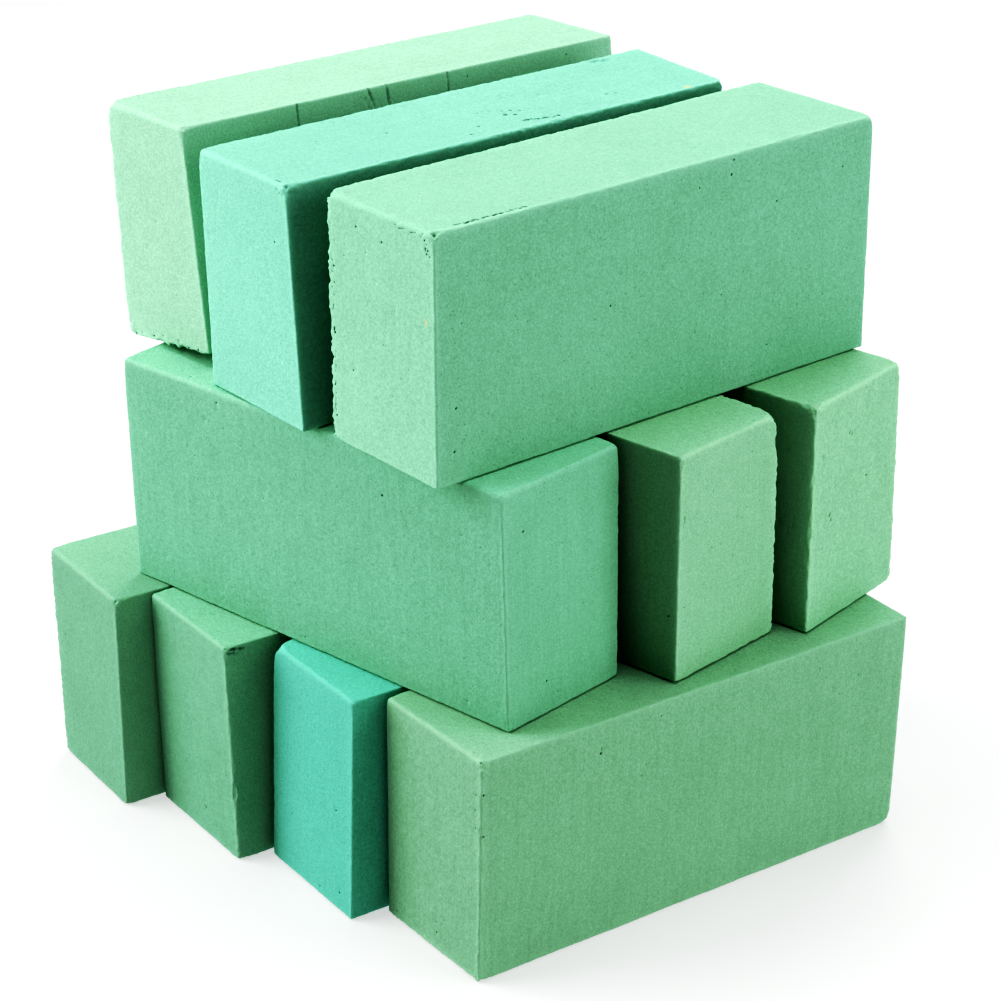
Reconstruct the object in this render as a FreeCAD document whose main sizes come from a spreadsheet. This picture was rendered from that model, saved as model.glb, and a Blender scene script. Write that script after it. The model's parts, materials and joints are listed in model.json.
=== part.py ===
"""A loose stack of ten floral foam bricks, in millimetres.

The bricks stand on their narrow long sides in three tiers.  The four bricks of the bottom tier and the
three of the top tier run along Y.  The three of the middle tier run along X.  The front of a brick is the
end that shows at the front of its tier: the -Y end in the bottom and top tiers, the +X end in the middle.
The origin is at floor level, under the middle of the stack.
"""
import FreeCAD, Part
import os
import Sketcher

# Driving dimensions that all the bricks share.
SHARED = {
    "base_level": 0.0,      # height of a brick's base in its own frame
    "brick_length": 234.0,   # nominal length, before each brick's own difference
    "brick_width": 67.0,     # nominal thickness, level in this stack
    "brick_height": 105.0,   # the wide side, upright in this stack
    "arris_radius": 1.2,     # foam edges rub off as soon as they are handled
    "saw_margin": 30.0,      # how far a saw cut's outline stands outside the brick
    "middle_turn": 90.0,     # the middle tier runs across the other two
}

# How each hand-stacked, wire-cut brick differs from the nominal one.  Its own frame has X across it,
# Y along it and Z up, from the middle of its base.
#   tier        0, 1 or 2, counted from the floor
#   place_x/y   where the middle of its base stands
#   yaw         turn about Z from its tier's direction, in degrees
#   longer      added to the nominal length
#   wider       added to the nominal width at the base
#   top_wider   width at the top less the width at the base
#   lean        how far the top stands over to +X of the base
#   front_skew, back_skew   turn of that end's saw cut about Z, in degrees
#   front_rake  tilt of the front saw cut, in degrees: positive sets the top back
COLUMNS = ("tier", "place_x", "place_y", "yaw", "longer", "wider", "top_wider", "lean",
           "front_skew", "back_skew", "front_rake")
BRICKS = {
    "bottom_left_brick": (0, -106.0, -20.5, -5.2, 0.0, -4.0, 4.0, -1.0, -1.0, 0.0, 0.0),
    "bottom_inner_brick": (0, -37.0, -8.5, -5.0, 0.0, 1.0, -2.0, -1.0, 0.0, 0.5, -1.0),
    "bottom_aqua_brick": (0, 34.5, 0.5, -5.0, 0.0, -1.5, -1.0, 1.5, 0.0, -0.5, 1.5),
    "bottom_right_brick": (0, 104.5, 8.5, -4.8, -6.5, -1.0, 2.0, 2.0, 1.0, -1.5, 0.0),
    "middle_front_brick": (1, 3.5, -66.5, 8.4, -9.0, 1.0, 3.0, -1.0, -0.5, 2.5, 1.0),
    "middle_centre_brick": (1, 11.5, 12.0, 8.4, 0.0, -1.5, -1.5, -4.5, -1.0, 0.0, -1.5),
    "middle_rear_brick": (1, 11.0, 87.5, 8.8, 0.0, 2.5, -2.5, 0.0, 3.0, -1.0, 0.5),
    "top_left_brick": (2, -93.0, 20.0, -0.8, 3.5, -5.5, -6.0, -10.5, 2.5, 3.5, 0.0),
    "top_aqua_brick": (2, -15.5, 11.5, 0.0, 3.5, 0.0, -3.5, -2.0, -1.5, -6.0, -1.5),
    "top_right_brick": (2, 62.5, 18.0, 0.5, 5.5, 1.5, 0.5, -1.0, -1.0, 0.0, 0.0),
}

# The left brick of the top tier has lost a wedge of its lower front arris.
BROKEN_ARRIS = {"broken_rise": 6.0, "broken_depth": 12.0, "broken_start": 8.0}

doc = FreeCAD.newDocument("floral_foam_bricks")
sheet = doc.addObject("Spreadsheet::Sheet", "Sizes")


def put(cell, alias, value):
    """Write a plain number in a cell and name the cell."""
    sheet.set(cell, str(value))
    sheet.setAlias(cell, alias)


def fill_sheet():
    """One row for each shared dimension, then one row for each brick."""
    row = 0
    for alias, value in {**SHARED, **BROKEN_ARRIS}.items():
        row += 1
        sheet.set(f"A{row}", alias)
        put(f"B{row}", alias, value)
    for name, values in BRICKS.items():
        row += 1
        sheet.set(f"A{row}", name)
        for offset, (column, value) in enumerate(zip(COLUMNS, values)):
            put(f"{chr(ord('B') + offset)}{row}", f"{name}_{column}", value)


def end_plane(body):
    """The body's own XZ plane, whose sketches have x across the brick, y up and z towards the front."""
    for feature in body.Origin.OriginFeatures:
        if feature.Role == "XZ_Plane":
            return feature
    raise RuntimeError(f"{body.Label} has no XZ plane")


def outline(body, name, corners, offset=None):
    """A closed sketch across the brick.  Each corner is a pair of expressions, measured from the origin."""
    sketch = body.newObject("Sketcher::SketchObject", name)
    sketch.AttachmentSupport = [(end_plane(body), "")]
    sketch.MapMode = "FlatFace"
    if offset:
        sketch.setExpression("AttachmentOffset", offset)
    count = len(corners)
    rough = [FreeCAD.Vector(*(float(body.evalExpression(value)) for value in corner)) for corner in corners]
    for index in range(count):
        sketch.addGeometry(Part.LineSegment(rough[index], rough[(index + 1) % count]))
    for index, corner in enumerate(corners):
        sketch.addConstraint(Sketcher.Constraint("Coincident", index, 2, (index + 1) % count, 1))
        for kind, axis, value, start in zip(("DistanceX", "DistanceY"), "xy", corner, rough[index]):
            number = sketch.addConstraint(Sketcher.Constraint(kind, -1, 1, index, 1, start))
            sketch.renameConstraint(number, f"corner{index}_{axis}")
            sketch.setExpression(f"Constraints.corner{index}_{axis}", value)
    return sketch


def saw_cut(body, brick, end):
    """Trim one end of the brick along a plane that is skewed in plan and raked in side view."""
    half_width = f"({brick('width')} / 2 + Sizes.saw_margin)"
    top = "(Sizes.brick_height + Sizes.saw_margin)"
    corners = [(f"-{half_width}", "-Sizes.saw_margin"), (half_width, "-Sizes.saw_margin"),
               (half_width, top), (f"-{half_width}", top)]
    if end == "front":
        offset = (f"placement(vector(0; 0; {brick('length')} / 2); "
                  f"rotation(0; {brick('front_skew')}; -{brick('front_rake')}))")
    else:
        offset = f"placement(vector(0; 0; -{brick('length')} / 2); rotation(0; {brick('back_skew')}; 0))"
    cut = body.newObject("PartDesign::Pocket", f"{end}_cut")
    cut.Profile = outline(body, f"{end}_cut_outline", corners, offset)
    cut.Type = "ThroughAll"
    cut.Reversed = end == "front"
    return cut


def break_arris(body, brick):
    """Knock a wedge off the lower front arris.  It rises towards the brick's right side."""
    right = f"({brick('width')} / 2 + Sizes.saw_margin)"
    left = f"(Sizes.broken_start - {brick('width')} / 2)"
    corners = [(left, "-Sizes.broken_rise"), (right, "-Sizes.broken_rise"), (right, "Sizes.broken_rise"),
               (f"({brick('width')} / 2)", "Sizes.broken_rise"), (left, "Sizes.base_level")]
    offset = f"placement(vector(0; 0; {brick('length')} / 2 + Sizes.saw_margin); rotation(0; 0; 0))"
    wedge = body.newObject("PartDesign::Pocket", "broken_arris")
    wedge.Profile = outline(body, "broken_arris_outline", corners, offset)
    wedge.setExpression("Length", "Sizes.broken_depth + Sizes.saw_margin")
    return wedge


def round_arrises(body, base):
    """Rub down every edge of the brick."""
    doc.recompute()
    arrises = body.newObject("PartDesign::Fillet", "rubbed_arrises")
    arrises.Base = (base, [f"Edge{number + 1}" for number in range(len(base.Shape.Edges))])
    arrises.setExpression("Radius", "Sizes.arris_radius")
    return arrises


def make_brick(name):
    """A block extruded from its cross-section, sawn to length at both ends, its edges rubbed."""
    def brick(size):
        if size == "length":
            return f"(Sizes.brick_length + Sizes.{name}_longer)"
        if size == "width":
            return f"(Sizes.brick_width + Sizes.{name}_wider)"
        return f"Sizes.{name}_{size}"

    body = doc.addObject("PartDesign::Body", name)
    body.Label = name
    half_base = f"{brick('width')} / 2"
    half_top = f"({brick('width')} + {brick('top_wider')}) / 2"
    section = outline(body, "cross_section", [
        (f"-{half_base}", "Sizes.base_level"),
        (half_base, "Sizes.base_level"),
        (f"{brick('lean')} + {half_top}", "Sizes.brick_height"),
        (f"{brick('lean')} - {half_top}", "Sizes.brick_height"),
    ])
    block = body.newObject("PartDesign::Pad", "block")
    block.Profile = section
    block.Midplane = True
    block.setExpression("Length", f"{brick('length')} + 2 * Sizes.saw_margin")
    saw_cut(body, brick, "front")
    last = saw_cut(body, brick, "back")
    if name == "top_left_brick":
        last = break_arris(body, brick)
    round_arrises(body, last)
    turn = "Sizes.middle_turn + " if name.startswith("middle") else ""
    body.setExpression("Placement", (
        f"placement(vector({brick('place_x')}; {brick('place_y')}; {brick('tier')} * Sizes.brick_height); "
        f"rotation({turn}{brick('yaw')}; 0; 0))"))
    return body


def check_features():
    """Stop if any feature failed or any brick isn't one sound solid of about the volume that was meant."""
    for feature in doc.Objects:
        if "Invalid" in feature.State or "Error" in feature.State:
            raise RuntimeError(f"{feature.Name} failed: {feature.State}")
    for name, body in bodies.items():
        shape = body.Shape
        if shape.isNull() or not shape.isValid() or len(shape.Solids) != 1:
            raise RuntimeError(f"{name} is not one valid solid")
        length, width, top_wider = (body.evalExpression(f"Sizes.{word}") for word in (
            f"brick_length + Sizes.{name}_longer", f"brick_width + Sizes.{name}_wider", f"{name}_top_wider"))
        meant = float(length) * (float(width) + float(top_wider) / 2) * SHARED["brick_height"]
        if abs(shape.Volume / meant - 1) > 0.02:
            raise RuntimeError(f"{name} has {shape.Volume:.0f} mm3, not about {meant:.0f} mm3")


fill_sheet()
doc.recompute()
bodies = {name: make_brick(name) for name in BRICKS}
doc.recompute()
check_features()

os.makedirs("parts", exist_ok=True)
for name, body in bodies.items():
    body.Shape.exportStep(f"parts/{name}.step")

box = Part.makeCompound([body.Shape for body in bodies.values()]).BoundBox
print(f"x {box.XMin:.1f} to {box.XMax:.1f}, y {box.YMin:.1f} to {box.YMax:.1f}, "
      f"z {box.ZMin:.1f} to {box.ZMax:.1f}")
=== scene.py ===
"""The looks of a loose stack of ten floral foam bricks.

Each CAD brick is replaced by a dense mesh on its own faces: rubbed and crumbled arrises, wire marks, open
pores, nicks and broken corners.  A brick's own frame is the CAD's, in millimetres from the middle of its
base: across, along (the front end is negative) and up.
"""
import json
import math
import bpy
import numpy as np
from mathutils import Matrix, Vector


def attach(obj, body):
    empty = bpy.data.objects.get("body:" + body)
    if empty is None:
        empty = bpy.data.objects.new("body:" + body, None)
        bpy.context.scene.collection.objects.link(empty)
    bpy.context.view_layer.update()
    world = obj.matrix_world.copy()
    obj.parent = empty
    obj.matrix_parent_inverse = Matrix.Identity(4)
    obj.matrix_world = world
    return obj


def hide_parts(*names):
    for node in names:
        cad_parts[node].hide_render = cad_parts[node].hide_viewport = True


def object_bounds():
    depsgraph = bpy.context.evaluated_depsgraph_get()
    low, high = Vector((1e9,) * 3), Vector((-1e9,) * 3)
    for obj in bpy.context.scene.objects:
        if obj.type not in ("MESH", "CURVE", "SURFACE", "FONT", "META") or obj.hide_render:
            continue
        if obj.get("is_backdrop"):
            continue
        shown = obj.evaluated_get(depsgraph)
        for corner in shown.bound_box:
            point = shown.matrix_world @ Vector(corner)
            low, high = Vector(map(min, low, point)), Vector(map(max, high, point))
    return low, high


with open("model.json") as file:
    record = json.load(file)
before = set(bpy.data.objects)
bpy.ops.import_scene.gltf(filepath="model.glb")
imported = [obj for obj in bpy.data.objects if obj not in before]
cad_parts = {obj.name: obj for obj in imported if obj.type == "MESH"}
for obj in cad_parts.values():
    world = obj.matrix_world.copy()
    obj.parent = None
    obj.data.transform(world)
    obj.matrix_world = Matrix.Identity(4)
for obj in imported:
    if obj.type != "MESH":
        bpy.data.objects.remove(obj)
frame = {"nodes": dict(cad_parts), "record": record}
cad_low, cad_high = (list(corner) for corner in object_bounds())

MM = 0.001
TINY = 1e-9             # stands in for a length or area of nothing when dividing by it

# ---------------------------------------------------------------- camera, light and floor

CAMERA_PLACE = (0.8781, -0.7184, 0.6547)
CAMERA_AZIMUTH = 50.28
CAMERA_ELEVATION = 24.30
CAMERA_LENS = 100.7
SENSOR_WIDTH = 36.0
NEAREST_SEEN = 0.01
FARTHEST_SEEN = 50.0
FLOOR_SIZE = 14.0
FLOOR_DROP = 0.0004     # keeps the floor clear of the bricks' undersides

# name: azimuth (0 is in front, 90 to the right), elevation, distance, size in metres, power in watts
LAMPS = {
    "key_softbox": (-42.0, 20.0, 2.0, 1.7, 68.0),
    "overhead_softbox": (0.0, 89.0, 1.9, 1.6, 35.0),
    "right_softbox": (115.0, 15.0, 2.0, 1.6, 31.0),
    "rear_softbox": (-150.0, 40.0, 2.0, 1.3, 26.0),
}
WORLD_STRENGTH = 0.03
# A contrasty print: what is this dark or darker prints black, and the shadows print deeper than they are.
BLACK_LEVEL = 0.02
SHADOW_CURVE = ((0.05, 0.006), (0.1, 0.022), (0.2, 0.09), (0.3, 0.20), (0.4, 0.345), (0.5, 0.47),
                (0.7, 0.70))
COMBINED_CURVE = 3      # the number of the curve that changes red, green and blue alike
FLOOR_ALBEDO = 0.33
FLOOR_ROUGHNESS = 0.9
FLOOR_SHINE = 0.1
FLOOR_GLOW = 0.55       # the floor is lit from below like a light table, so shadows on it stay pale
BACKDROP_GLOW = 0.60    # what the camera sees behind the floor


def make_camera():
    """The viewpoint: to the front right of the stack, looking a little down on it."""
    camera = bpy.data.objects.new("camera", bpy.data.cameras.new("camera"))
    camera.location = CAMERA_PLACE
    camera.rotation_euler = (math.radians(90.0 - CAMERA_ELEVATION), 0.0, math.radians(CAMERA_AZIMUTH))
    camera.data.sensor_width = SENSOR_WIDTH
    camera.data.lens = CAMERA_LENS
    camera.data.clip_start = NEAREST_SEEN
    camera.data.clip_end = FARTHEST_SEEN
    bpy.context.scene.collection.objects.link(camera)
    bpy.context.scene.camera = camera


def make_lamps():
    """Softboxes that face the middle of the stack."""
    middle = (Vector(cad_low) + Vector(cad_high)) / 2
    for name, (azimuth, elevation, distance, size, power) in LAMPS.items():
        turn, rise = math.radians(azimuth), math.radians(elevation)
        level = math.cos(rise)
        outward = Vector((math.sin(turn) * level, -math.cos(turn) * level, math.sin(rise)))
        light = bpy.data.lights.new(name, "AREA")
        light.size = size
        light.energy = power
        lamp = bpy.data.objects.new(name, light)
        lamp.location = middle + distance * outward
        lamp.rotation_euler = (-outward).to_track_quat("-Z", "Y").to_euler()
        bpy.context.scene.collection.objects.link(lamp)


def make_surround():
    """A faint even light from all round, and a pale backdrop beyond the floor."""
    world = bpy.data.worlds.new("studio")
    world.use_nodes = True
    background = world.node_tree.nodes["Background"]
    background.inputs["Color"].default_value = (1.0, 1.0, 1.0, 1.0)
    seen = world.node_tree.nodes.new("ShaderNodeLightPath").outputs["Is Camera Ray"]
    strength = world.node_tree.nodes.new("ShaderNodeMapRange")
    strength.inputs["To Min"].default_value = WORLD_STRENGTH
    strength.inputs["To Max"].default_value = BACKDROP_GLOW
    world.node_tree.links.new(seen, strength.inputs["Value"])
    world.node_tree.links.new(strength.outputs["Result"], background.inputs["Strength"])
    bpy.context.scene.world = world


def set_tones():
    """A contrasty print with a firm black."""
    light_and_shade_tones = bpy.context.scene.view_settings
    light_and_shade_tones.view_transform = "Standard"
    light_and_shade_tones.use_curve_mapping = True
    light_and_shade_tones.curve_mapping.black_level = (BLACK_LEVEL, BLACK_LEVEL, BLACK_LEVEL)
    for light_in, light_out in SHADOW_CURVE:
        light_and_shade_tones.curve_mapping.curves[COMBINED_CURVE].points.new(light_in, light_out)
    light_and_shade_tones.curve_mapping.update()


def make_floor():
    """A plain pale floor under the stack."""
    half = FLOOR_SIZE / 2
    mesh = bpy.data.meshes.new("floor")
    mesh.from_pydata([(-half, -half, -FLOOR_DROP), (half, -half, -FLOOR_DROP),
                      (half, half, -FLOOR_DROP), (-half, half, -FLOOR_DROP)], [], [(0, 1, 2, 3)])
    floor = bpy.data.objects.new("floor", mesh)
    bpy.context.scene.collection.objects.link(floor)
    material = bpy.data.materials.new("pale_floor")
    material.use_nodes = True
    shader = material.node_tree.nodes["Principled BSDF"]
    shader.inputs["Base Color"].default_value = (FLOOR_ALBEDO, FLOOR_ALBEDO, FLOOR_ALBEDO, 1.0)
    shader.inputs["Roughness"].default_value = FLOOR_ROUGHNESS
    shader.inputs["Specular IOR Level"].default_value = FLOOR_SHINE
    shader.inputs["Emission Color"].default_value = (1.0, 1.0, 1.0, 1.0)
    shader.inputs["Emission Strength"].default_value = FLOOR_GLOW
    mesh.materials.append(material)
    floor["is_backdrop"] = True


# ---------------------------------------------------------------- repeatable noise

def lattice(x, y, z, seed):
    """Random numbers from -1 to 1, the same ones every time, for whole-number points."""
    # The multipliers are large odd numbers, which mix the bits well.
    mask = np.int64(0xFFFFFFFF)
    mixed = (x * 374761393 + y * 668265263 + z * 1442695041 + seed * 974634777) & mask
    mixed = ((mixed ^ (mixed >> 13)) * 1274126177) & mask
    mixed = ((mixed ^ (mixed >> 15)) * 668265263) & mask
    return ((mixed ^ (mixed >> 16)) & mask) / 2147483647.5 - 1.0


def noise(points, cell, seed):
    """Smooth noise from -1 to 1.  cell is the grain in mm: one number, or one for each axis."""
    scaled = points / np.asarray(cell, float)
    base = np.floor(scaled)
    part = scaled - base
    part = part * part * (3.0 - 2.0 * part)
    base = base.astype(np.int64)
    total = np.zeros(len(points))
    for step in np.ndindex(2, 2, 2):
        weight = np.prod(np.where(step, part, 1.0 - part), axis=1)
        total += weight * lattice(*(base[:, axis] + step[axis] for axis in range(3)), seed)
    return total


# ---------------------------------------------------------------- a brick's blank

# Each side's axis (0 across, 1 along, 2 up) and which end of it.
SIDES = {"left": (0, -1), "right": (0, 1), "front": (1, -1), "back": (1, 1),
         "base": (2, -1), "top": (2, 1)}
SIDE_NAMES = list(SIDES)
COARSE = 1.35           # grid spacing in mm, over the middle of a face
FINE = 0.5              # and next to the arrises and in the zones that hold small features
FINE_MARGIN = 4.0
SPACING_SLOPE = 0.12    # how fast the spacing grows away from them
TICKS = 4000            # how many places the spacing is worked out at
UPRIGHT = 0.3           # a triangle whose normal rises less than this is part of a side or end
FACING = 0.9            # and one that points this much the same way is part of the face


def flat_faces(node, front):
    """The brick's six flat faces as planes, found by the largest triangle that faces each way."""
    mesh = frame["nodes"][node].data
    mesh.calc_loop_triangles()
    places = np.array([vertex.co[:] for vertex in mesh.vertices], float) / MM
    corners = places[np.array([triangle.vertices[:] for triangle in mesh.loop_triangles])]
    normals = np.cross(corners[:, 1] - corners[:, 0], corners[:, 2] - corners[:, 0])
    areas = np.linalg.norm(normals, axis=1)
    normals /= np.maximum(areas, TINY)[:, None]
    upright = np.abs(normals[:, 2]) < UPRIGHT
    widest = normals[np.argmax(areas * upright)] * (1.0, 1.0, 0.0)
    up = np.array([0.0, 0.0, 1.0])
    along = np.cross(up, widest / np.linalg.norm(widest))
    if along @ front > 0:
        along = -along
    across = np.cross(along, up)
    planes = {}
    for side, (axis, sign) in SIDES.items():
        facing = normals @ ((across, along, up)[axis] * sign)
        largest = np.argmax(areas * (facing > FACING))
        planes[side] = (normals[largest], normals[largest] @ corners[largest, 0])
    return planes


def sharp_corners(planes):
    """The eight corners where the flat faces meet, as an array indexed [across][along][up]."""
    corners = np.zeros((2, 2, 2, 3))
    for index in np.ndindex(2, 2, 2):
        three = [planes[SIDE_NAMES[2 * axis + index[axis]]] for axis in range(3)]
        corners[index] = np.linalg.solve([normal for normal, _ in three], [offset for _, offset in three])
    return corners


def grid_lines(length, zones):
    """Places from 0 to length: close together near both ends and in each zone, further apart between."""
    ticks = np.linspace(0.0, length, TICKS)
    spacing = np.full(ticks.shape, COARSE)
    for low, high in [(0.0, FINE_MARGIN), (length - FINE_MARGIN, length), *zones]:
        away = np.maximum(np.maximum(low - ticks, ticks - high), 0.0)
        spacing = np.minimum(spacing, FINE + SPACING_SLOPE * away)
    steps = np.concatenate([[0.0], np.cumsum(np.diff(ticks) / spacing[1:])])
    count = math.ceil(steps[-1])
    return np.interp(np.linspace(0.0, steps[-1], count + 1), steps, ticks)


class Blank:
    """A closed box of quads on a graded grid, in the brick's own frame."""

    def __init__(self, size, zones):
        self.low = np.array([-size[0] / 2, -size[1] / 2, 0.0])
        self.high = self.low + size
        self.lines = []
        for axis, start in enumerate(self.low):
            fine = [(low - start, high - start) for low, high in zones[axis]]
            self.lines.append(start + grid_lines(size[axis], fine))
        counts = [len(lines) for lines in self.lines]
        outside = np.zeros(counts, bool)
        for axis in range(3):
            np.moveaxis(outside, axis, 0)[[0, -1]] = True
        index = np.full(counts, -1)
        index[outside] = np.arange(outside.sum())
        cells = np.argwhere(outside)
        self.points = np.stack([self.lines[axis][cells[:, axis]] for axis in range(3)], axis=1)
        self.sheets = {side: index.take(0 if sign < 0 else -1, axis=axis)
                       for side, (axis, sign) in SIDES.items()}
        self.quads = np.concatenate([self.side_quads(side) for side in SIDES])

    def side_quads(self, side):
        """The quads of one side, wound so that they face outwards."""
        axis, sign = SIDES[side]
        sheet = self.sheets[side]
        quads = np.stack([sheet[:-1, :-1], sheet[1:, :-1], sheet[1:, 1:], sheet[:-1, 1:]], axis=-1)
        turned = (sign < 0) != (axis == 1)
        return quads.reshape(-1, 4)[:, ::-1] if turned else quads.reshape(-1, 4)

    def distances(self):
        """How far each point is from each of the six sides, as columns in the order of SIDES."""
        return np.stack([self.points[:, axis] - self.low[axis] if sign < 0 else
                         self.high[axis] - self.points[:, axis] for axis, sign in SIDES.values()], axis=1)


# ---------------------------------------------------------------- wear

# Lengths are in mm.  A grain is the size of a noise's lumps.
EDGE_REACH = 5.0        # how far an arris's wear reaches over the faces
PALE_REACH = 1.6        # how far the pale line along a rubbed arris reaches: part wear, part painted highlight
ARRIS_RADIUS = (0.35, 12.0)     # the least and the most that an arris is rounded
ROUND_GRAIN = 9.0       # the arrises are rounded more and less along their length
ROUND_SWING = 0.3
CRUMB_GRAIN = 14.0      # and so is their roughness
CRUMB_DEPTH = 0.10
CRUMB_SWING = 0.06
CRUMBLED = 0.22         # roughness added for each mm that an arris has crumbled
HOLLOW_GRAIN = 6.5      # a crumbled arris has long hollows
HOLLOW_LEVEL = 0.25
HOLLOW_SWING = 0.8
HOLLOW_SHARE = 0.6      # of the arris's depth
CHIP_GRAIN = 3.6        # and short chips
CHIP_EDGE = (0.12, 0.38)        # where in the noise a chip starts and where it is full
CHIP_SHARE = 0.8
CORNER_GRAIN = 3.0
CORNER_SWING = 0.25
CORNER_SPREAD = 1.3     # a corner's wear reaches this many times its depth
COARSE_CRUMB = 1.3      # grains of the roughness
FINE_CRUMB = 0.8
FINE_CRUMB_SHARE = 0.5
CRUMB_SINK = 0.4        # more foam is lost from an arris than stands out of it
SIDE_LIFT = 0.35        # how far the upright faces stand out before they are sunk
LONG_WAVE = (48.0, 0.10)        # grain and depth of the faces' slow waves
SHORT_WAVE = (15.0, 0.06)
FOAM_GRAIN = (2.7, 0.018)
WIRE_DEPTH = 0.05
LEVEL = 0.7             # a face whose normal rises more than this is the top or base
LEVEL_STRIPES = (2.2, 70.0, 2.2)        # grain of the cutting wire's marks on it
UPRIGHT_STRIPES = (3.0, 1.9, 60.0)      # and on the sides and ends
WIDE_DENT = 1.5         # dents of this radius or more let the light in, so they aren't dark inside
FULL_PORE = 0.75        # a pit of this radius or more is painted dark inside as painted shade, smaller ones less so
SMALLEST_DARK = 0.3     # how dark the smallest pit's painted shade is in its middle
PORE_DEPTH = 0.5        # of its radius
ROW_PORE_DEPTH = 0.8    # and in the rows, where the foam is torn
ROW_PORE_SIZES = (0.6, 1.2)     # of the row's radius
RIM_CELLS = 3           # how many grid lines a pore's middle keeps from the end of its side
PORE_RIM = 0.12         # how dark a pit's painted shade is at its rim, on the same scale as its middle
SMALL_PORES = (0.25, 0.45)      # radius of the pores that are strewn everywhere
PORE_MARGIN = 5.0       # how far they keep from the arrises
BITE_SWING = 0.3        # how uneven a nick is
BITE_GRAIN = 0.6        # of its radius
LEAST_GRAIN = 0.9
BREAK_EDGE = 2.0        # the broken arris ends in a slope this long
BREAK_START = 0.2       # and is fully rough from this share of its length on
BREAK_WAVER = (4.0, 1.5)        # grain and size of the wavering of its end
BREAK_GRAIN = 3.2
BREAK_SWING = 0.22
BREAK_FADE = 5.0        # the foam above is squeezed up to this many times the break's height
BREAK_SHADE = 1.6       # and is painted darker, as painted shadow under the break, up to this many times


def edge_weights(away, edge):
    """1 on an arris, such as "front left", and falling away from it."""
    first, second = (away[:, SIDE_NAMES.index(side)] for side in edge.split())
    return np.exp(-(first ** 2 + second ** 2) / EDGE_REACH ** 2)


def step_up(values, low, high):
    """0 below low, 1 above high, and a smooth ramp between."""
    part = np.clip((values - low) / (high - low), 0.0, 1.0)
    return part * part * (3.0 - 2.0 * part)


def rub_edges(blank, wear, seed):
    """Round every arris by an uneven amount, and crumble the ones that are named."""
    points = blank.points
    away = blank.distances()
    nearest_two = np.sort(away, axis=1)[:, :2]
    arris = np.exp(-nearest_two[:, 1] ** 2 / EDGE_REACH ** 2)
    radius = wear["rub"] * (1.0 + ROUND_SWING * noise(points, ROUND_GRAIN, seed))
    crumbs = CRUMB_DEPTH + CRUMB_SWING * noise(points, CRUMB_GRAIN, seed + 1)
    for edge, depth in wear["soft"].items():
        radius += depth * edge_weights(away, edge)
    for edge, depth in wear["edges"].items():
        near = edge_weights(away, edge)
        hollows = HOLLOW_LEVEL + HOLLOW_SWING * noise(points, HOLLOW_GRAIN, seed + 2)
        hollows = np.clip(hollows, 0.0, None)
        chips = step_up(noise(points, CHIP_GRAIN, seed + 3), *CHIP_EDGE)
        radius += depth * near * (HOLLOW_SHARE * hollows + CHIP_SHARE * chips)
        crumbs += CRUMBLED * depth * near
    for corner, depth in wear["corners"].items():
        sides = [SIDE_NAMES.index(side) for side in corner.split()]
        gap = np.sqrt((away[:, sides] ** 2).sum(axis=1))
        uneven = 1.0 + CORNER_SWING * noise(points, CORNER_GRAIN, seed + 4)
        radius += depth * np.exp(-(gap / (CORNER_SPREAD * depth)) ** 2) * uneven
    radius = np.clip(radius, *ARRIS_RADIUS)[:, None]
    core = np.clip(points, blank.low + radius, blank.high - radius)
    outward = points - core
    outward /= np.linalg.norm(outward, axis=1)[:, None]
    rough = noise(points, COARSE_CRUMB, seed + 5) - CRUMB_SINK
    rough += FINE_CRUMB_SHARE * noise(points, FINE_CRUMB, seed + 6)
    rough *= crumbs * arris
    blank.points = core + outward * (radius + rough[:, None])
    rubbed_and_highlit = np.exp(-(nearest_two[:, 1] / PALE_REACH) ** 2)
    return outward, rubbed_and_highlit, crumbs * arris


def paint_side_light(outward, light_and_shade_tones):
    """Painted light and shade: each side painted paler or darker for how light falls on it, blended at
    round arrises.
    """
    tone = np.zeros(len(outward))
    for side, (axis, sign) in SIDES.items():
        tone += light_and_shade_tones.get(side, 1.0) * np.clip(sign * outward[:, axis], 0.0, 1.0) ** 2
    return tone


def sunk(points, cell, depth, seed):
    """Noise as a depth, from 0 to twice the depth that is given."""
    return depth * (1.0 + noise(points, cell, seed))


def roughen(blank, outward, wear, seed):
    """Sink the faces unevenly: slow waves, the marks of the cutting wire, and the grain of the foam."""
    points = blank.points
    depth = sunk(points, *LONG_WAVE, seed + 10) + sunk(points, *SHORT_WAVE, seed + 11)
    depth *= wear["wave"]
    depth += sunk(points, *FOAM_GRAIN, seed + 12)
    stripes = np.where(np.abs(outward[:, 2:]) > LEVEL, LEVEL_STRIPES, UPRIGHT_STRIPES)
    depth += wear["wire"] * sunk(points, stripes, WIRE_DEPTH, seed + 13)
    depth -= SIDE_LIFT * (1.0 - np.abs(outward[:, 2]))
    blank.points = points - outward * depth[:, None]


def lift_broken_arris(blank, broken, seed):
    """Raise the base next to the front end, more and more towards the right side, and give the painted
    shadow beneath the raised break.
    """
    points = blank.points
    width = blank.high[0] - blank.low[0]
    share = np.clip((points[:, 0] - blank.low[0] - broken["start"]) / (width - broken["start"]), 0.0, 1.0)
    waver_grain, waver = BREAK_WAVER
    behind = points[:, 1] - blank.low[1] + waver * noise(points, waver_grain, seed)
    rise, end = broken["rise"], broken["depth"]
    height = rise * share * (1.0 - step_up(behind, end - BREAK_EDGE, end))
    rough = noise(points, BREAK_GRAIN, seed + 1) * step_up(share, 0.0, BREAK_START)
    height *= 1.0 + BREAK_SWING * rough
    points[:, 2] += height * np.clip(1.0 - points[:, 2] / (BREAK_FADE * rise), 0.0, 1.0)
    return np.clip(height * (1.0 - points[:, 2] / (BREAK_SHADE * rise)) / rise, 0.0, 1.0)


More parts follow.
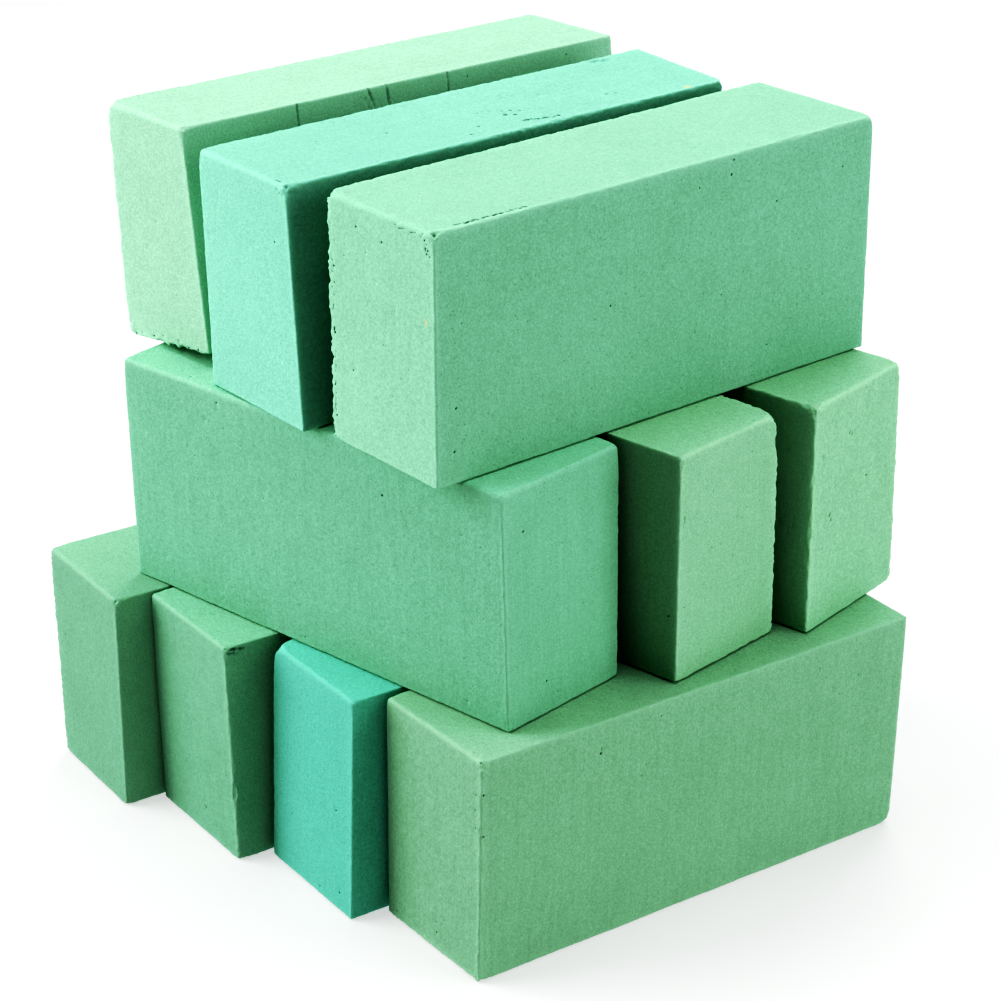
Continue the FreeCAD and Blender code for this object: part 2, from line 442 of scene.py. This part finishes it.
def bite(blank, nick_and_break_shade, sides, start, end, radius, depth, seed):
    """Press a rough sausage shape into the named side or arris, along the line from start to end."""
    start, end, outward = np.array(start, float), np.array(end, float), np.zeros(3)
    for axis, sign in (SIDES[side] for side in sides.split()):
        outward[axis] = sign
        start[axis] = end[axis] = blank.low[axis] if sign < 0 else blank.high[axis]
    shift = outward / np.linalg.norm(outward) * (radius - depth)
    start, end = start + shift, end + shift
    line = end - start
    part = np.clip((blank.points - start) @ line / max(line @ line, TINY), 0.0, 1.0)
    foot = start + part[:, None] * line
    gap = blank.points - foot
    dist = np.linalg.norm(gap, axis=1)
    uneven = noise(blank.points, max(radius * BITE_GRAIN, LEAST_GRAIN), seed)
    reach = radius * (1.0 + BITE_SWING * uneven)
    inside = dist < reach
    push = (gap[inside] / np.maximum(dist[inside], TINY)[:, None]) * reach[inside, None]
    blank.points[inside] = foot[inside] + push
    # A narrow nick is painted dark inside: painted shade where the light doesn't reach.
    if radius < WIDE_DENT:
        shade = min(1.0, depth) * np.clip((reach - dist)[inside] / depth, 0.0, 1.0)
        nick_and_break_shade[inside] = np.maximum(nick_and_break_shade[inside], shade)


def open_pore(blank, pores, side, place, radius, depth):
    """A round pit with painted shade inside.  The grid point nearest to it sinks, and its eight
    neighbours become the rim.
    """
    axis, sign = SIDES[side]
    sheet = blank.sheets[side]
    level = [other for other in range(3) if other != axis]
    spot = []
    for other, value in zip(level, place):
        lines = blank.lines[other]
        nearest = np.abs(lines - value).argmin()
        spot.append(int(np.clip(nearest, RIM_CELLS, len(lines) - 1 - RIM_CELLS)))
    centre = blank.points[sheet[spot[0], spot[1]]].copy()
    centre[level] = place
    for step in np.ndindex(3, 3):
        offset = np.array(step) - 1
        if offset.any():
            rim = sheet[spot[0] + offset[0], spot[1] + offset[1]]
            blank.points[rim, level] = place + radius * offset / np.linalg.norm(offset)
            pores[rim] = np.maximum(pores[rim], PORE_RIM)
    hollow = sheet[spot[0], spot[1]]
    blank.points[hollow] = centre
    blank.points[hollow, axis] -= sign * depth
    pores[hollow] = np.clip(radius / FULL_PORE, SMALLEST_DARK, 1.0)


def scatter_pores(blank, pores, count, random):
    """Small pits all over the brick, in proportion to each face's area."""
    size = blank.high - blank.low
    for side, (axis, _) in SIDES.items():
        level = [other for other in range(3) if other != axis]
        share = size[level].prod() / (size[1] * size[2])
        for _ in range(round(count * share)):
            place = random.uniform(blank.low[level] + PORE_MARGIN, blank.high[level] - PORE_MARGIN)
            radius = random.uniform(*SMALL_PORES)
            open_pore(blank, pores, side, place, radius, PORE_DEPTH * radius)


def pit_row(blank, pores, row, random):
    """Pits strewn along a line on one side: side, start, end, how many, how far off it, and radius."""
    side, start, end, count, spread, radius = row
    for share in np.linspace(0.0, 1.0, count):
        place = np.array(start) + share * (np.array(end) - start) + random.uniform(-spread, spread, 2)
        size = radius * random.uniform(*ROW_PORE_SIZES)
        open_pore(blank, pores, side, place, size, ROW_PORE_DEPTH * size)


# ---------------------------------------------------------------- foam material

OCTAVE_SHARE = 0.6      # strength of each finer layer of a noise, next to the one before


def add_node(tree, kind, inputs=None, **settings):
    """A shader node.  inputs gives each socket a value, or another node's output."""
    made = tree.nodes.new("ShaderNode" + kind)
    for name, value in settings.items():
        setattr(made, name, value)
    for name, value in (inputs or {}).items():
        if isinstance(value, bpy.types.NodeSocket):
            tree.links.new(value, made.inputs[name])
        else:
            made.inputs[name].default_value = value
    return made


def calculate(tree, operation, *values):
    """The output of a maths node."""
    return add_node(tree, "Math", dict(enumerate(values)), operation=operation).outputs[0]


def blend_colour(tree, share, first, second):
    """first where share is 0, second where it is 1."""
    inputs = {"Factor": share, "A": first, "B": second}
    return add_node(tree, "Mix", inputs, data_type="RGBA").outputs["Result"]


def grain(tree, place, scale, detail, stretch=(1.0, 1.0, 1.0)):
    """Noise from about -0.5 to 0.5 at so many grains to the millimetre."""
    stretched = add_node(tree, "Mapping", {"Vector": place, "Scale": stretch}).outputs["Vector"]
    made = add_node(tree, "TexNoise", {
        "Vector": stretched, "Scale": scale, "Detail": detail, "Roughness": OCTAVE_SHARE})
    return calculate(tree, "SUBTRACT", made.outputs["Fac"], 0.5)


# The foam's tone is made of noise: grains to the mm, detail and strength.
FINE_GRAIN = (1.15, 2.0)
SPECKLE = 0.65
TONE_LAYERS = ((0.38, 2.0, 0.20), (0.09, 2.0, 0.09), (0.018, 1.0, 0.10))
STREAK_GRAIN = (0.55, 2.0)
SPECKS_PER_MM = 0.36
SPECK_EDGE = (0.07, 0.20)       # where a dark speck's edge starts and ends, in spacings
SPECK_CHANCE = 0.90             # a cell with a number above this has a speck
SPECK_STRENGTH = 0.40
SPECK_HEIGHT = -0.6
PIT_SHADE_EDGE = (0.12, 0.45)         # the painted pit shade attribute where a pit's painted shade starts and where it is full
WEAR_AND_HIGHLIGHT_STRENGTH = 0.75
BUMP_GRAIN = (0.5, 3.0)
BUMP_STRENGTH = 0.28
BUMP_METRES = 0.0006
ROUGHNESS = 0.90
ROUGHNESS_SWING = 0.12
ROUGHNESS_GRAIN = (0.4, 2.0)
FOAM_SHINE = 0.15


def foam_material(name, look):
    """Dead matt open-cell foam: grainy and streaked, with painted shade in pits and specks, sides painted
    paler or darker for how light falls, and pale rubbed arrises, part wear and part painted highlight.
    """
    material = bpy.data.materials.new(name)
    material.use_nodes = True
    tree = material.node_tree
    place = add_node(tree, "Attribute", attribute_name="brick_place").outputs["Vector"]
    place = add_node(tree, "VectorMath", {0: place, 1: look["shift"]}, operation="ADD").outputs[0]
    fine = grain(tree, place, *FINE_GRAIN)
    tone = calculate(tree, "MULTIPLY_ADD", fine, SPECKLE, 1.0)
    for scale, detail, amount in TONE_LAYERS:
        tone = calculate(tree, "MULTIPLY_ADD", grain(tree, place, scale, detail), amount, tone)
    streaks = grain(tree, place, *STREAK_GRAIN, look["streak_stretch"])
    tone = calculate(tree, "MULTIPLY_ADD", streaks, look["streak"], tone)
    # Painted light and shade: each side is painted paler or darker for how the light falls on it.
    painted_side_light = add_node(tree, "Attribute", attribute_name="painted_side_light").outputs["Fac"]
    tone = calculate(tree, "MULTIPLY", tone, painted_side_light)

    # Dark specks: painted shade of tiny pores, which the bump also sinks a little.
    cells = add_node(tree, "TexVoronoi", {"Vector": place, "Scale": SPECKS_PER_MM})
    spots = add_node(tree, "MapRange", {
        "Value": cells.outputs["Distance"], "From Min": SPECK_EDGE[0], "From Max": SPECK_EDGE[1],
        "To Min": 1.0, "To Max": 0.0})
    chosen = add_node(tree, "SeparateColor", {"Color": cells.outputs["Color"]}).outputs[0]
    chosen = calculate(tree, "GREATER_THAN", chosen, SPECK_CHANCE)
    specks = calculate(tree, "MULTIPLY", spots.outputs[0], chosen)

    # Painted shade inside pits and nicks, and under the broken arris.
    pit_shade = add_node(tree, "Attribute", attribute_name="painted_pit_shade").outputs["Fac"]
    pit_shade = add_node(tree, "MapRange", {
        "Value": pit_shade, "From Min": PIT_SHADE_EDGE[0], "From Max": PIT_SHADE_EDGE[1]}).outputs[0]
    worn_and_highlit = add_node(tree, "Attribute", attribute_name="worn_and_highlit").outputs["Fac"]
    stain = add_node(tree, "Attribute", attribute_name="stain").outputs["Fac"]
    colour = add_node(tree, "VectorMath", {0: look["colour"], "Scale": tone}, operation="SCALE")
    # A rubbed arris is paler: part wear, part painted highlight.
    rubbed_and_highlit = calculate(tree, "MULTIPLY", worn_and_highlit, WEAR_AND_HIGHLIGHT_STRENGTH)
    colour = blend_colour(tree, rubbed_and_highlit, colour.outputs[0], look["pale"])
    speckled = calculate(tree, "MULTIPLY", specks, SPECK_STRENGTH)
    colour = blend_colour(tree, speckled, colour, look["shadowed"])
    colour = blend_colour(tree, pit_shade, colour, look["hollow"])
    colour = blend_colour(tree, stain, colour, STAIN_COLOUR)

    heights = calculate(tree, "ADD", fine, grain(tree, place, *BUMP_GRAIN))
    heights = calculate(tree, "MULTIPLY_ADD", specks, SPECK_HEIGHT, heights)
    bump = add_node(tree, "Bump", {
        "Height": heights, "Strength": BUMP_STRENGTH, "Distance": BUMP_METRES})
    roughness = calculate(
        tree, "MULTIPLY_ADD", grain(tree, place, *ROUGHNESS_GRAIN), ROUGHNESS_SWING, ROUGHNESS)
    shader = tree.nodes["Principled BSDF"]
    tree.links.new(colour, shader.inputs["Base Color"])
    tree.links.new(roughness, shader.inputs["Roughness"])
    tree.links.new(bump.outputs["Normal"], shader.inputs["Normal"])
    shader.inputs["Specular IOR Level"].default_value = FOAM_SHINE
    return material


# ---------------------------------------------------------------- the ten bricks

# Linear red, green and blue.
COLOURS = {
    "bottom_left_brick": (0.185, 0.337, 0.233),
    "bottom_inner_brick": (0.194, 0.367, 0.253),
    "bottom_aqua_brick": (0.153, 0.417, 0.331),
    "bottom_right_brick": (0.244, 0.424, 0.287),
    "middle_front_brick": (0.221, 0.434, 0.302),
    "middle_centre_brick": (0.284, 0.495, 0.330),
    "middle_rear_brick": (0.295, 0.524, 0.346),
    "top_left_brick": (0.289, 0.491, 0.355),
    "top_aqua_brick": (0.229, 0.498, 0.380),
    "top_right_brick": (0.247, 0.470, 0.330),
}
STAIN_COLOUR = (0.62, 0.42, 0.20, 1.0)
PALE_GAIN = 1.25                # a rubbed arris's colour, from its brick's: part wear, part painted highlight
PALE_LIFT = 0.03
SPECK_SHARE = 0.35              # a speck's colour, painted shade of a tiny pore, as a share of its brick's
PIT_SHADE_SHARES = (0.10, 0.16, 0.14)         # and a pit's painted shade, for red, green and blue
NOISE_SHIFT = (7.0, 3.0, 5.0)   # mm between the bricks' patterns, for each step of the seed
ALONG_Y = (0.0, -1.0)           # where the front end of a bottom or top brick points
ALONG_X = (1.0, 0.0)            # and that of a middle brick

# Lengths are in mm, in the brick's own frame, as if it were a true box.
#   front           where its front end points
#   seed            picks its own noise and pores
#   edges, corners  how deep each named arris or corner has crumbled
#   soft            how much rounder than the rest each named arris is
#   light_and_shade_tones   painted light and shade: each named side painted paler or darker for how light falls on it
#   pores           pits: side, two places on it (in the order across, along, up) and radius
#   rows            pits strewn along a line: side, start, end, how many, how far off the line, and radius
#   nicks           side or arris, start, end, radius and depth
#   stains          a place (across, along, up) and a radius
#   zones           stretches across, along and up that need the fine grid
#   rub, wave, wire   roundness of the arrises, unevenness of the faces, depth of the wire marks
#   pore_count      how many small pores are strewn on a long side, and in proportion on the others
#   streak, streak_stretch   pale and dark streaks, and the direction that they run in
DEFAULTS = dict(
    rub=0.75, wave=1.0, wire=1.0, pore_count=8, edges={}, corners={}, soft={"front top": 1.2},
    light_and_shade_tones={}, pores=(), rows=(), nicks=(), stains=(), zones=((), (), ()), streak=0.08,
    streak_stretch=(1.0, 1.0, 0.05))
BRICKS = {
    "bottom_left_brick": dict(
        front=ALONG_Y, seed=11, wave=1.2,
        light_and_shade_tones={"top": 1.28, "right": 1.4, "front": 0.94},
        edges={"front left": 0.8},
        corners={"front right top": 1.5, "front right base": 1.5},
        pores=(("front", -30, 73, 0.6), ("front", -22, 65, 0.6))),
    "bottom_inner_brick": dict(
        front=ALONG_Y, seed=23, wave=1.5,
        light_and_shade_tones={"top": 1.47, "right": 1.18, "front": 0.92},
        edges={"front right": 0.8},
        corners={"front right top": 1.0},
        pores=(("front", 6, 14, 0.68), ("front", 27, 40, 0.45)),
        nicks=(
            ("right", (0, -116, 104), (0, -108, 102.5), 0.7, 0.6),
            ("right", (0, -116, 102), (0, -111, 101), 0.6, 0.5),
            ("front right", (0, 0, 36), (0, 0, 32), 2.2, 1.4),
            ("right", (0, -113, 30), (0, -109, 24), 0.9, 0.25),
            ("top", (-3, -103, 0), (4, -100, 0), 0.7, 0.5))),
    "bottom_aqua_brick": dict(
        front=ALONG_Y, seed=37, wave=1.4,
        light_and_shade_tones={"top": 1.38, "right": 1.19, "front": 0.95},
        edges={"front left": 0.4},
        corners={"front left top": 4.0},
        pores=(("front", 20, 48, 0.64), ("front", -16, 29, 0.45), ("front", 23, 9, 0.68),
               ("front", 8, 21, 0.38), ("front", 7, 4, 0.52))),
    "bottom_right_brick": dict(
        front=ALONG_Y, seed=41, streak=0.16, wire=1.6, pore_count=11,
        light_and_shade_tones={"top": 1.13, "right": 1.03, "front": 0.84},
        edges={"front right": 0.8, "front base": 0.6, "right top": 0.4},
        corners={"back right base": 3.0},
        pores=(("right", -54, 90, 0.75), ("right", -23, 98, 0.45), ("right", -30, 77, 0.38),
               ("right", 64, 94, 0.45), ("right", 87, 84, 0.45), ("right", 32, 103, 0.38),
               ("front", 3, 9, 0.6), ("front", -27, 4, 0.52), ("front", -18, 86, 0.38)),
        rows=(
            ("front", (30, 97), (30, 73), 4, 0.8, 0.5),
            ("right", (-113, 90), (-112, 70), 2, 0.8, 0.6)),
        nicks=(("right", (0, -37, 5), (0, -33, 11), 0.8, 0.2),)),
    "middle_front_brick": dict(
        front=ALONG_X, seed=53, streak=0.14, wire=1.5,
        light_and_shade_tones={"top": 1.4, "front": 1.08, "left": 0.93},
        soft={"front top": 1.2, "left top": 1.2},
        edges={"front right": 0.3, "front left": 0.3},
        corners={"front right top": 1.2},
        pores=(("left", -46, 86, 0.75), ("left", 52, 100, 0.6), ("left", 26, 63, 0.38),
               ("left", 5, 4, 0.52), ("front", -23, 86, 0.68), ("front", -11, 15, 0.68),
               ("front", 0, 73, 0.38), ("front", 17, 52, 0.38), ("front", -2, 46, 0.3),
               ("top", -30, 73, 0.6))),
    "middle_centre_brick": dict(
        front=ALONG_X, seed=61, wave=1.5, streak=0.12,
        light_and_shade_tones={"top": 1.14, "left": 0.74},
        edges={"front right": 1.1, "front base": 0.7, "front left": 0.5, "right top": 0.8},
        corners={"front right top": 4.5},
        pores=(("front", -11, 83, 0.45), ("front", -28, 35, 0.45), ("front", -11, 57, 0.38),
               ("front", 5, 66, 0.38), ("front", 14, 93, 0.45), ("left", -113, 31, 0.68)),
        nicks=(
            ("front right", (0, 0, 97), (0, 0, 90), 3.2, 1.6),
            ("front", (24, 0, 19), (25, 0, 31), 1.0, 0.2),
            ("front", (-30, 0, 72), (-29, 0, 77), 0.9, 0.4))),
    "middle_rear_brick": dict(
        front=ALONG_X, seed=71, wave=1.2, streak=0.12,
        light_and_shade_tones={"top": 0.98, "left": 0.76},
        edges={"front left": 1.2, "front right": 0.6, "left top": 0.8},
        corners={"front right base": 2.0},
        pores=(("front", 9, 60, 0.68), ("front", -13, 70, 0.45), ("front", -25, 37, 0.45)),
        nicks=(
            ("front", (-27.5, 0, 80.5), (-26, 0, 76.5), 0.9, 0.4),
            ("front", (-6.5, 0, 86), (-4.5, 0, 83), 0.8, 0.5),
            ("front", (-20, 0, 52), (-18, 0, 48.5), 0.9, 0.6),
            ("front", (-30, 0, 51), (-27, 0, 54), 0.9, 0.25),
            ("front", (-10, 0, 60), (-8, 0, 54), 2.6, 0.5),
            ("left", (0, -100, 54), (0, -101, 46), 0.8, 0.25),
            ("left", (0, -103, 56), (0, -105, 43), 0.8, 0.25),
            ("left", (0, -107, 53), (0, -107, 47), 0.8, 0.25))),
    "top_left_brick": dict(
        front=ALONG_Y, seed=83, streak_stretch=(1.0, 0.05, 1.0),
        light_and_shade_tones={"top": 1.03},
        soft={"front top": 2.2, "left top": 1.5},
        edges={"front base": 1.2, "front left": 0.6, "left top": 0.5},
        corners={"front left top": 2.0},
        broken=dict(rise=6.0, depth=12.0, start=8.0),
        pores=(("right", 33, 101, 0.52), ("right", 91, 101, 0.52)),
        rows=(("front", (-24, 2), (28, 3), 9, 1.6, 0.6),),
        nicks=(
            ("right", (0, -60, 105), (0, -60, 84), 0.8, 0.36),
            ("right", (0, -22, 105), (0, -19, 96), 0.8, 0.38),
            ("right", (0, -24, 101), (0, -21, 92), 0.8, 0.25),
            ("right", (0, -12, 105), (0, -11, 95), 0.8, 0.36),
            ("right", (0, 22, 105), (0, 22, 90), 0.8, 0.34),
            ("right top", (0, 65, 0), (0, 68, 0), 1.6, 0.6),
            ("top", (0, -32, 0), (5, -22, 0), 0.8, 0.35),
            ("top", (-5, -7, 0), (-3, -2, 0), 0.7, 0.3),
            ("top", (-4, 10, 0), (-3, 14, 0), 0.6, 0.3)),
        zones=((), ((-63, -57), (-26, -8), (20, 24)), ())),
    "top_aqua_brick": dict(
        front=ALONG_Y, seed=97, wave=1.4, streak=0.12, streak_stretch=(1.0, 0.06, 1.0),
        light_and_shade_tones={"top": 0.97, "right": 0.66},
        soft={"front top": 1.8},
        edges={"right top": 0.7, "back top": 0.5, "left top": 0.5},
        corners={"front right top": 1.5},
        pores=(("top", 12, 9, 1.3), ("top", 14.5, 12.5, 1.1), ("top", 18, -10, 0.9),
               ("top", 25, -19, 0.9), ("top", 0, -46, 0.9), ("top", -9, -76, 0.6),
               ("top", 27.5, 27, 1.2), ("front", 22, 79, 0.68)),
        rows=(
            ("top", (24, 11), (28, 25), 10, 1.0, 1.15),
            ("top", (3, 2), (13, 26), 7, 1.5, 0.8),
            ("top", (24, -118), (31, -114), 6, 0.8, 0.5),
            ("front", (25, 102), (30, 101), 5, 0.9, 0.5),
            ("top", (-24, -60), (-6, 60), 16, 9.0, 0.5)),
        nicks=(
            ("top", (-12, 16, 0), (-8, 30, 0), 0.7, 0.5),
            ("top", (-4, 36, 0), (-2, 44, 0), 0.7, 0.5),
            ("top", (-7, -14, 0), (-4, 0, 0), 0.7, 0.4),
            ("top", (15, 62, 0), (18, 72, 0), 0.8, 0.6),
            ("top", (2, 3, 0), (4, 16, 0), 0.7, 0.4),
            ("top", (-16, -84, 0), (-13, -78, 0), 0.6, 0.4),
            ("top", (-28, 91, 0), (-27, 97, 0), 4.5, 1.0),
            ("right top", (0, -98, 0), (0, -92, 0), 1.8, 0.7),
            ("right top", (0, -70, 0), (0, -62, 0), 2.0, 0.8)),
        stains=(((30, 100, 105), 2.2),),
        zones=((), ((-14, 34),), ())),
    "top_right_brick": dict(
        front=ALONG_Y, seed=101, pore_count=11,
        light_and_shade_tones={"right": 0.96},
        soft={"front top": 2.2},
        edges={"front left": 2.4, "right top": 0.7, "left top": 0.6},
        corners={"front right top": 2.0, "back right top": 2.0},
        pores=(("front", -14.5, 95, 0.68), ("front", 2, 93, 0.68), ("front", -8.5, 86, 0.45),
               ("front", -23, 81, 0.52), ("front", -19, 34, 0.6), ("right", 37, 102, 0.68),
               ("right", 36, 96, 0.75), ("right", 18, 94, 0.52), ("right", 63, 79, 0.6),
               ("right", 102, 86, 0.6), ("right", -30, 55, 0.6), ("right", 32, 45, 0.52),
               ("right", 93, 31, 0.45), ("right", 60, 16, 0.52), ("right", -110, 32, 0.68),
               ("right", -111, 14, 0.68)),
        rows=(
            ("top", (31, -108), (31.5, -72), 22, 0.5, 0.8),
            ("front", (28, 102), (31, 95), 7, 1.0, 0.55),
            ("front", (-31, 78), (-31, 10), 22, 1.0, 0.65),
            ("front", (10, 102), (27, 102), 6, 0.8, 0.45)),
        nicks=(("front right top", (0, 0, 0), (0, 0, 0), 2.4, 0.5),),
        stains=(((29, -120, 68), 1.3),)),
}


# ---------------------------------------------------------------- building the bricks

RUBBED_PALE_AND_HIGHLIGHT = 0.45      # how pale a rubbed arris is: part wear, part painted highlight
CRUMBLED_PALE_AND_HIGHLIGHT = 0.8     # and a crumbled one, for each mm of roughness
NICK_SHADE = 0.75        # how dark a full nick's painted shade is, on the pores' scale
BROKEN_SHADE = 0.8       # and the painted shadow under the broken arris, on the nicks' scale
STAIN_STRENGTH = 0.6
STAIN_CORE = 0.4        # of a stain's radius is full strength


def wear_brick(blank, spec):
    """Wear the blank; give at each point its wear and painted highlight, painted shade, stain and painted
    side light.
    """
    seed = spec["seed"]
    outward, rubbed_and_highlit, crumbled = rub_edges(blank, spec, seed)
    roughen(blank, outward, spec, seed)
    pores = np.zeros(len(blank.points))
    nick_and_break_shade = np.zeros(len(blank.points))
    random = np.random.default_rng(seed)
    scatter_pores(blank, pores, spec["pore_count"], random)
    for side, first, second, radius in spec["pores"]:
        open_pore(blank, pores, side, np.array([first, second]), radius, PORE_DEPTH * radius)
    for row in spec["rows"]:
        pit_row(blank, pores, row, random)
    for number, nick in enumerate(spec["nicks"]):
        bite(blank, nick_and_break_shade, *nick, seed + 20 + number)
    stains = np.zeros(len(blank.points))
    for place, radius in spec["stains"]:
        gap = np.linalg.norm(blank.points - place, axis=1)
        stain = 1.0 - step_up(gap, STAIN_CORE * radius, radius)
        stains = np.maximum(stains, STAIN_STRENGTH * stain)
    if "broken" in spec:
        broken = lift_broken_arris(blank, spec["broken"], seed + 50)
        # Painted shadow beneath the lifted break.
        nick_and_break_shade = np.maximum(nick_and_break_shade, BROKEN_SHADE * broken)
    return {
        # rubbed and crumbled arrises are paler: part wear, part painted highlight
        "worn_and_highlit": np.clip(RUBBED_PALE_AND_HIGHLIGHT * rubbed_and_highlit + CRUMBLED_PALE_AND_HIGHLIGHT * crumbled, 0.0, 1.0),
        # painted shade in pits and nicks, and under the broken arris
        "painted_pit_shade": np.maximum(pores, NICK_SHADE * nick_and_break_shade),
        "stain": stains,
        # painted light and shade for each side
        "painted_side_light": paint_side_light(outward, spec["light_and_shade_tones"]),
    }


def place_points(blank, corners):
    """The blank's points in the stack's frame: its eight corners go to the CAD brick's."""
    share = (blank.points - blank.low) / (blank.high - blank.low)
    world = np.zeros_like(share)
    for index in np.ndindex(2, 2, 2):
        weight = np.prod(np.where(index, share, 1.0 - share), axis=1)
        world += weight[:, None] * corners[index]
    return world


def brick_mesh(name, node, spec):
    """The worn brick as a mesh in the stack's frame.  Its material reads the mesh's attributes."""
    corners = sharp_corners(flat_faces(node, np.array([*spec["front"], 0.0])))
    size = np.array([np.linalg.norm(np.diff(corners, axis=axis), axis=-1).mean() for axis in range(3)])
    blank = Blank(size, spec["zones"])
    attributes = wear_brick(blank, spec)
    mesh = bpy.data.meshes.new(name)
    mesh.from_pydata(place_points(blank, corners) * MM, [], blank.quads.tolist())
    mesh.shade_smooth()
    place = mesh.attributes.new("brick_place", "FLOAT_VECTOR", "POINT")
    place.data.foreach_set("vector", blank.points.ravel())
    for attribute, values in attributes.items():
        mesh.attributes.new(attribute, "FLOAT", "POINT").data.foreach_set("value", values)
    return mesh


def brick_look(colour, spec):
    """The colours, streaks and place in the noise of one brick's material."""
    return dict(
        colour=colour,
        pale=[min(1.0, PALE_GAIN * value + PALE_LIFT) for value in colour] + [1.0],
        shadowed=[SPECK_SHARE * value for value in colour] + [1.0],
        # the colour of the painted shade inside pits and nicks
        hollow=[share * value for share, value in zip(PIT_SHADE_SHARES, colour)] + [1.0],
        shift=tuple(spec["seed"] * step for step in NOISE_SHIFT),
        streak=spec["streak"],
        streak_stretch=spec["streak_stretch"])


def make_brick(node, body):
    """One detailed brick, standing for its CAD node."""
    spec = {**DEFAULTS, **BRICKS[node]}
    name = node.replace("_brick", "_foam")
    mesh = brick_mesh(name, node, spec)
    mesh.materials.append(foam_material(name, brick_look(COLOURS[node], spec)))
    brick = bpy.data.objects.new(name, mesh)
    bpy.context.scene.collection.objects.link(brick)
    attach(brick, body)
    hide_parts(node)


make_camera()
make_lamps()
make_surround()
set_tones()
make_floor()
body_of = {node: body for body, nodes in frame["record"]["behaviour"]["bodies"].items() for node in nodes}
for node in BRICKS:
    make_brick(node, body_of[node])
